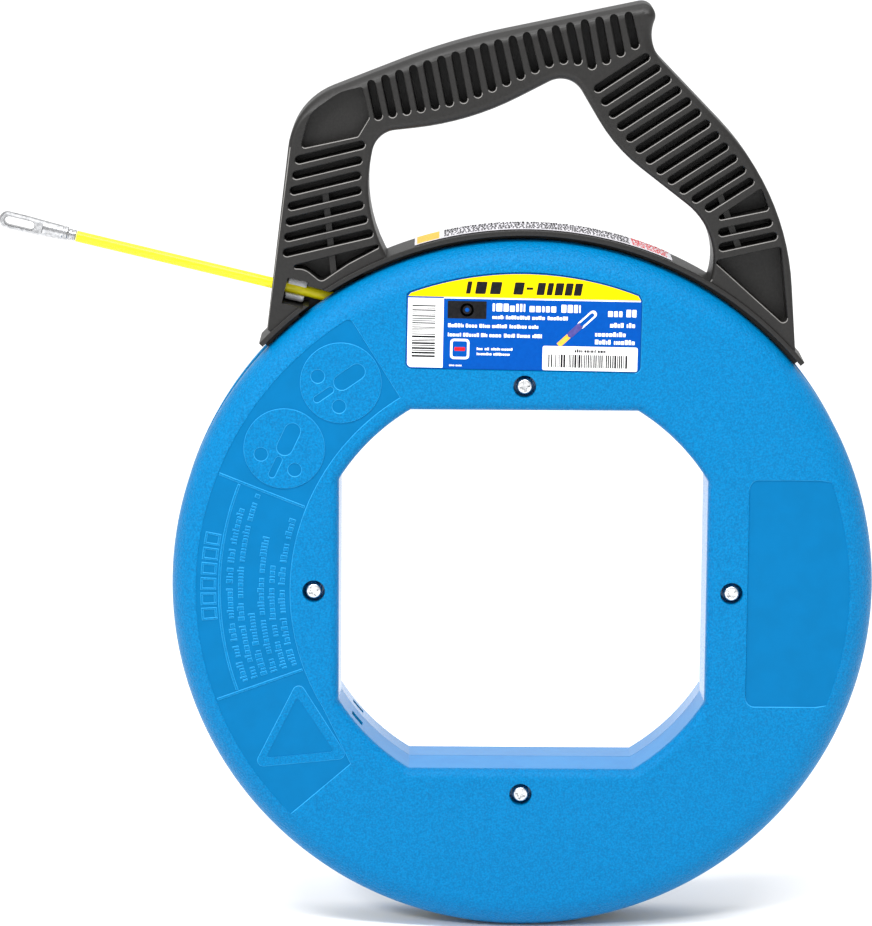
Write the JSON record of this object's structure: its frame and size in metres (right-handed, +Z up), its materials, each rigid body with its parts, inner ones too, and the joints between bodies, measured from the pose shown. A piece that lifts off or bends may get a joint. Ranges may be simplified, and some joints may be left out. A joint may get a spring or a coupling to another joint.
{
  "type": "fish tape reel",
  "caption": "Fish tape reel: a round drum case that turns inside a fixed ribbed carrying handle, with a fibreglass tape and metal eyelet leaving through the handle.",
  "frame": {"origin": "the highest point of the hand opening, on the underside of the grip, in the middle of the grip's depth: where a hand or a hook carries the reel", "axes": "+Z up with the grip at the top, +X to the right seen from the labelled face, +Y from the labelled face to the plain back face, along the drum's axis"},
  "size_m": [0.3793, 0.0452, 0.4062],
  "materials": {
    "handle_plastic": "moulded, fine grain, satin",
    "case_plastic": "moulded, coarse grain, satin",
    "guide_metal": "plated",
    "eyelet_metal": "machined, plated",
    "screw_steel": "zinc plated",
    "tape_fibreglass": "smooth, semi-gloss",
    "label_film": "printed gloss film",
    "sticker_film": "printed paper film",
    "saddle_sticker": "printed film"
  },
  "bodies": {
    "handle_body": {"handle": "handle_plastic", "tape_guide": "guide_metal", "saddle_sticker": "saddle_sticker"},
    "drum": {"case_front": "case_plastic", "case_back": "case_plastic", "front_label": "label_film", "stock_sticker": "sticker_film", "tape_coil": "tape_fibreglass", "case_screw_1": "screw_steel", "case_screw_2": "screw_steel", "case_screw_3": "screw_steel", "case_screw_4": "screw_steel"},
    "tape": {"tape_lead": "tape_fibreglass", "tape_ferrule": "eyelet_metal", "tape_eyelet": "eyelet_metal"}
  },
  "joints": [
    {"name": "reel_spin", "type": "hinge", "parent": "handle_body", "child": "drum", "pos_m": [-0.0154, 0, -0.2226], "axis": [0, 1, 0], "continuous": true},
    {"name": "tape_slide", "type": "slide", "parent": "handle_body", "child": "tape", "axis": [-0.9734, 0, 0.229], "range_m": [-0.0902, 0.024]}
  ]
}
